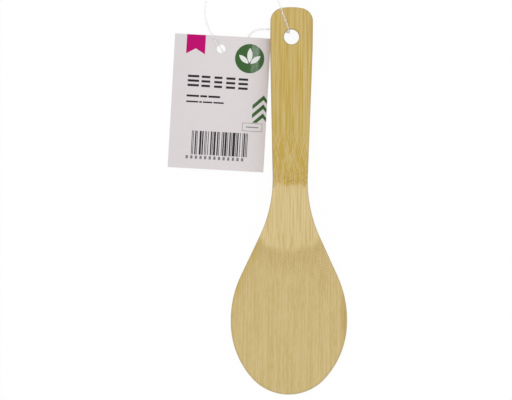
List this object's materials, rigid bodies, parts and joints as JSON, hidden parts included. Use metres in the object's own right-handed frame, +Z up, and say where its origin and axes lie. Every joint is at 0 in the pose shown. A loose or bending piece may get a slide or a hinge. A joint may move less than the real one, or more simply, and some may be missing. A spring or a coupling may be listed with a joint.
{
  "type": "rice paddle",
  "caption": "Flat bamboo rice paddle with a round blade, waisted neck and hanging hole, and a bowed card tag on a clear plastic loop.",
  "frame": {"origin": "on the table, under the middle of the paddle's length and width, with the tag and its loop left out", "axes": "the paddle lies face up: +Y along it towards the end with the hanging hole, +X to its right seen from above, +Z up out of its front"},
  "size_m": [0.0958, 0.2213, 0.0109],
  "materials": {
    "bamboo": "bare sanded bamboo with a fine long grain",
    "card": "smooth coated card with a light sheen",
    "filament": "clear smooth plastic filament",
    "lock": "clear moulded plastic"
  },
  "bodies": {
    "paddle": {"paddle": "bamboo"},
    "loop": {"tag_loop": "filament", "loop_lock": "lock"},
    "tag": {"tag_card": "card"}
  },
  "joints": [
    {"name": "loop_swing", "type": "hinge", "parent": "paddle", "child": "loop", "pos_m": [0, 0.0868, 0], "axis": [0, 0, 1], "range_deg": [-120, 1.5]},
    {"name": "tag_swing", "type": "hinge", "parent": "loop", "child": "tag", "pos_m": [-0.0372, 0.0803, 0], "axis": [0, 0, 1], "range_deg": [-60, 1.5]}
  ]
}
